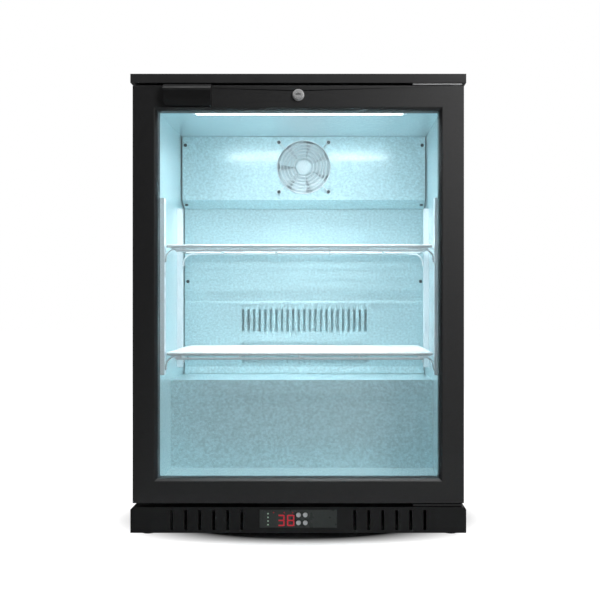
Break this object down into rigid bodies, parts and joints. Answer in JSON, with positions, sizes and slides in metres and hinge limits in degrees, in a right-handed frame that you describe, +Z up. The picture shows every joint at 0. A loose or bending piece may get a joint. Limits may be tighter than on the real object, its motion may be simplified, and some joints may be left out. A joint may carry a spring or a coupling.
{
  "type": "undercounter bar refrigerator",
  "caption": "Black undercounter bar refrigerator with a right-hinged glass door, lit aluminium interior, wire shelves and a stepped fan-cooled cabinet.",
  "frame": {"origin": "centre of the bounding box's underside: on the floor, midway between the sides and midway between the front of the handle and the back of the cap", "axes": "+X to the right seen from the front, +Y from the door to the back, +Z up"},
  "size_m": [0.6, 0.512, 0.835],
  "materials": {
    "side_paint": "satin",
    "cap_paint": "satin",
    "galvanised_steel": "satin",
    "zinc_steel": "satin",
    "dark_screws": "satin",
    "foam": "matte",
    "stucco_aluminium": "satin",
    "throat_plastic": "satin",
    "coil_aluminium": "satin",
    "coil_black": "satin",
    "black_plastic": "satin",
    "white_plastic": "satin",
    "white_coated_wire": "gloss",
    "standard_paint": "satin",
    "led_lens": "gloss",
    "smoked_lens": "gloss",
    "lit_segments": "gloss",
    "button_plastic": "satin",
    "mount_rubber": "matte",
    "compressor_paint": "satin",
    "fan_blade_plastic": "satin",
    "copper": "satin",
    "door_black": "satin",
    "clear_glass": "gloss",
    "spacer_black": "satin",
    "gasket_rubber": "matte",
    "lock_chrome": "polished"
  },
  "bodies": {
    "cabinet": {"side_panel_left": "side_paint", "side_panel_right": "side_paint", "back_panel": "galvanised_steel", "base_pan": "galvanised_steel", "bulkhead": "galvanised_steel", "top_cap": "cap_paint", "foam_insulation": "foam", "liner_sides": "stucco_aluminium", "liner_shell": "stucco_aluminium", "throat_frame": "throat_plastic", "evaporator_cover": "stucco_aluminium", "duct_panel": "stucco_aluminium", "interior_screws": "dark_screws", "evaporator_coil": "coil_aluminium", "drip_tray": "white_plastic", "evaporator_fan_frame": "white_plastic", "fan_guard": "white_coated_wire", "led_housing": "white_plastic", "led_diffuser": "led_lens", "shelf_standards": "standard_paint", "shelf_clips": "white_coated_wire", "plinth_grille": "black_plastic", "controller_body": "black_plastic", "controller_bezel": "smoked_lens", "display_segments": "lit_segments", "foot_nuts": "zinc_steel", "compressor": "compressor_paint", "compressor_mounts": "mount_rubber", "condenser_coil": "coil_black", "condenser_fan_frame": "galvanised_steel", "filter_drier": "copper", "refrigerant_lines": "copper", "drain_pan": "white_plastic", "rear_grille": "side_paint", "cable_gland": "black_plastic", "case_screws": "zinc_steel", "hinge_plate_top": "zinc_steel", "hinge_plate_bottom": "side_paint", "hinge_pins": "zinc_steel"},
    "door": {"door_frame": "door_black", "glass_outer": "clear_glass", "glass_inner": "clear_glass", "glass_spacer": "spacer_black", "door_gasket": "gasket_rubber", "door_handle": "black_plastic", "lock_housing": "lock_chrome", "hinge_bushes": "white_plastic"},
    "lock": {"lock_plug": "lock_chrome"},
    "button_up_left": {"button_1": "button_plastic"},
    "button_up_right": {"button_2": "button_plastic"},
    "button_low_left": {"button_3": "button_plastic"},
    "button_low_right": {"button_4": "button_plastic"},
    "evaporator_fan": {"evaporator_fan_rotor": "fan_blade_plastic"},
    "condenser_fan": {"condenser_fan_rotor": "coil_aluminium"},
    "upper_shelf": {"shelf_upper": "white_coated_wire"},
    "lower_shelf": {"shelf_lower": "white_coated_wire"},
    "front_left_foot": {"foot_front_left": "black_plastic"},
    "front_right_foot": {"foot_front_right": "black_plastic"},
    "rear_left_foot": {"foot_rear_left": "black_plastic"},
    "rear_right_foot": {"foot_rear_right": "black_plastic"}
  },
  "joints": [
    {"name": "door_hinge", "type": "hinge", "parent": "cabinet", "child": "door", "pos_m": [0.282, -0.212, 0.441], "axis": [0, 0, 1], "range_deg": [0, 110]},
    {"name": "lock_turn", "type": "hinge", "parent": "door", "child": "lock", "pos_m": [0, -0.2, 0.797], "axis": [0, 1, 0], "range_deg": [0, 90]},
    {"name": "button_up_left_press", "type": "slide", "parent": "cabinet", "child": "button_up_left", "axis": [0, 1, 0], "range_m": [0, 0.0008], "stiffness_N_per_m": 500, "springref_m": -0.0005},
    {"name": "button_up_right_press", "type": "slide", "parent": "cabinet", "child": "button_up_right", "axis": [0, 1, 0], "range_m": [0, 0.0008], "stiffness_N_per_m": 500, "springref_m": -0.0005},
    {"name": "button_low_left_press", "type": "slide", "parent": "cabinet", "child": "button_low_left", "axis": [0, 1, 0], "range_m": [0, 0.0008], "stiffness_N_per_m": 500, "springref_m": -0.0005},
    {"name": "button_low_right_press", "type": "slide", "parent": "cabinet", "child": "button_low_right", "axis": [0, 1, 0], "range_m": [0, 0.0008], "stiffness_N_per_m": 500, "springref_m": -0.0005},
    {"name": "evaporator_fan_spin", "type": "hinge", "parent": "cabinet", "child": "evaporator_fan", "pos_m": [0, 0.15, 0.7125], "axis": [0, 1, 0], "continuous": true},
    {"name": "condenser_fan_spin", "type": "hinge", "parent": "cabinet", "child": "condenser_fan", "pos_m": [0.145, 0.11, 0.122], "axis": [0, 1, 0], "continuous": true},
    {"name": "upper_shelf_lift", "type": "slide", "parent": "cabinet", "child": "upper_shelf", "axis": [0, 0, 1], "range_m": [0, 0.03]},
    {"name": "lower_shelf_lift", "type": "slide", "parent": "cabinet", "child": "lower_shelf", "axis": [0, 0, 1], "range_m": [0, 0.03]},
    {"name": "front_left_foot_level", "type": "slide", "parent": "cabinet", "child": "front_left_foot", "axis": [0, 0, -1], "range_m": [0, 0.012]},
    {"name": "front_right_foot_level", "type": "slide", "parent": "cabinet", "child": "front_right_foot", "axis": [0, 0, -1], "range_m": [0, 0.012]},
    {"name": "rear_left_foot_level", "type": "slide", "parent": "cabinet", "child": "rear_left_foot", "axis": [0, 0, -1], "range_m": [0, 0.012]},
    {"name": "rear_right_foot_level", "type": "slide", "parent": "cabinet", "child": "rear_right_foot", "axis": [0, 0, -1], "range_m": [0, 0.012]}
  ]
}
